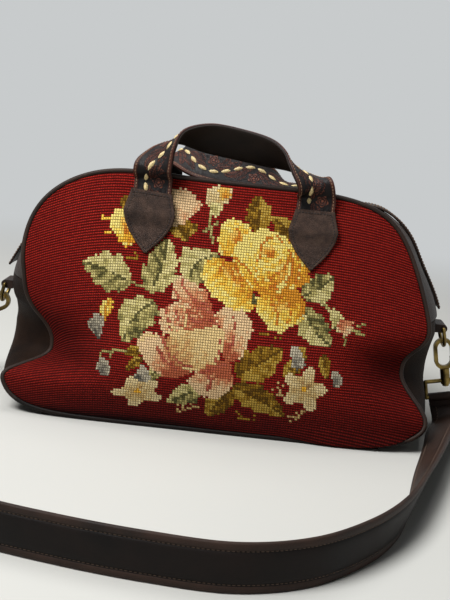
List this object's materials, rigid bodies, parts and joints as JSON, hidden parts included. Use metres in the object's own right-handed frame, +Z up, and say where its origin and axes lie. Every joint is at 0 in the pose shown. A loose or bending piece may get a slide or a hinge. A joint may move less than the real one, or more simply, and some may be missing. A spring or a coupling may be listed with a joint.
{
  "type": "overnight bag",
  "caption": "Slumped overnight bag in red rose needlepoint with dark leather ends, tooled belt handles, a top zip and a padded shoulder strap on swivel hooks",
  "frame": {"origin": "middle of the footprint on the floor, the strap and its hooks left out", "axes": "+X to the right seen from the front, +Y to the back, +Z up"},
  "size_m": [0.6213, 0.51, 0.3017],
  "materials": {
    "needlepoint": "wool tent stitch, matt",
    "leather": "dark brown, soft sheen",
    "tooled_leather": "carved and antiqued, red brown",
    "suede": "brushed, matt",
    "brass": "antique, dulled",
    "zip_tape": "woven, matt"
  },
  "bodies": {
    "bag": {"front_panel": "needlepoint", "back_panel": "needlepoint", "base_panel": "leather", "left_gusset": "leather", "right_gusset": "leather", "front_top_strip": "leather", "back_top_strip": "leather", "front_piping": "leather", "back_piping": "leather", "front_zip_tape": "zip_tape", "back_zip_tape": "zip_tape", "zip_chain": "brass", "left_zip_tab": "leather", "right_zip_tab": "leather", "front_handle": "tooled_leather", "front_handle_lining": "leather", "back_handle": "tooled_leather", "back_handle_lining": "leather", "front_left_chape": "suede", "front_right_chape": "suede", "back_left_chape": "suede", "back_right_chape": "suede", "left_ring_loop": "leather", "right_ring_loop": "leather", "left_swivel_eye": "brass", "right_swivel_eye": "brass", "left_strap_end": "leather", "right_strap_end": "leather", "shoulder_strap": "leather"},
    "zip_slider": {"zip_slider": "brass", "zip_slider_under": "brass"},
    "zip_pull": {"zip_pull": "brass"},
    "left_ring": {"left_d_ring": "brass"},
    "right_ring": {"right_d_ring": "brass"},
    "left_hook": {"left_hook": "brass", "left_gate_pin": "brass"},
    "right_hook": {"right_hook": "brass", "right_gate_pin": "brass"},
    "left_gate": {"left_gate": "brass"},
    "right_gate": {"right_gate": "brass"}
  },
  "joints": [
    {"name": "zip_slide", "type": "slide", "parent": "bag", "child": "zip_slider", "axis": [-1, 0, 0], "range_m": [0, 0.216]},
    {"name": "zip_pull_swing", "type": "hinge", "parent": "zip_slider", "child": "zip_pull", "pos_m": [0.109, 0, 0.2346], "axis": [0, 1, 0], "range_deg": [0, 150]},
    {"name": "left_ring_swing", "type": "hinge", "parent": "bag", "child": "left_ring", "pos_m": [-0.23564, 0, 0.11], "axis": [0, 1, 0], "range_deg": [-3, 4]},
    {"name": "right_ring_swing", "type": "hinge", "parent": "bag", "child": "right_ring", "pos_m": [0.23564, 0, 0.11], "axis": [0, 1, 0], "range_deg": [-3, 3]},
    {"name": "left_hook_swivel", "type": "hinge", "parent": "bag", "child": "left_hook", "pos_m": [-0.27621, 0, 0.07075], "axis": [0.8829, 0, 0.4695], "range_deg": [-25, 25]},
    {"name": "right_hook_swivel", "type": "hinge", "parent": "bag", "child": "right_hook", "pos_m": [0.24907, 0, 0.0503], "axis": [-0.2079, 0, 0.9781], "range_deg": [-25, 25]},
    {"name": "left_gate_open", "type": "hinge", "parent": "left_hook", "child": "left_gate", "pos_m": [-0.25875, 0, 0.08966], "axis": [0, 1, 0], "range_deg": [0, 18], "stiffness_Nm_per_rad": 0.05},
    {"name": "right_gate_open", "type": "hinge", "parent": "right_hook", "child": "right_gate", "pos_m": [0.25234, 0, 0.07584], "axis": [0, -1, 0], "range_deg": [0, 18], "stiffness_Nm_per_rad": 0.05}
  ]
}
